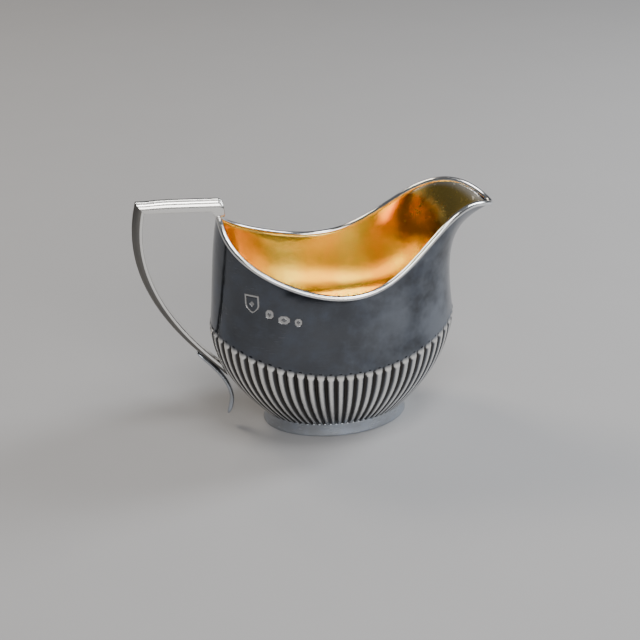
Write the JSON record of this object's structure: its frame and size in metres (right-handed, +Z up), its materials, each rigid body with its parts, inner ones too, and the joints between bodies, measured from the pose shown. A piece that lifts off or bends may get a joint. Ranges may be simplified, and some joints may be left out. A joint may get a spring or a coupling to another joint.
{
  "type": "cream jug",
  "caption": "Oval half-fluted silver cream jug with a swept-up spout, an applied rim wire, a reeded angular handle and an oval foot band.",
  "frame": {"origin": "middle of the whole jug's box, on the table that the foot stands on", "axes": "+X towards the spout, -X towards the handle, +Z up out of the mouth, Y across the jug's width"},
  "size_m": [0.1238, 0.0574, 0.0901],
  "materials": {
    "body_silver": "polished silver with fine wear scratches",
    "wire_silver": "brightly polished silver",
    "underside_silver": "dull unpolished silver",
    "gilt": "worn gilding inside the bowl"
  },
  "bodies": {
    "root": {"body_shell": "body_silver", "base_plate": "underside_silver", "foot_ring": "body_silver", "rim_wire": "wire_silver", "handle_rail": "wire_silver", "handle_strap": "wire_silver", "handle_tail": "wire_silver"}
  },
  "joints": []
}
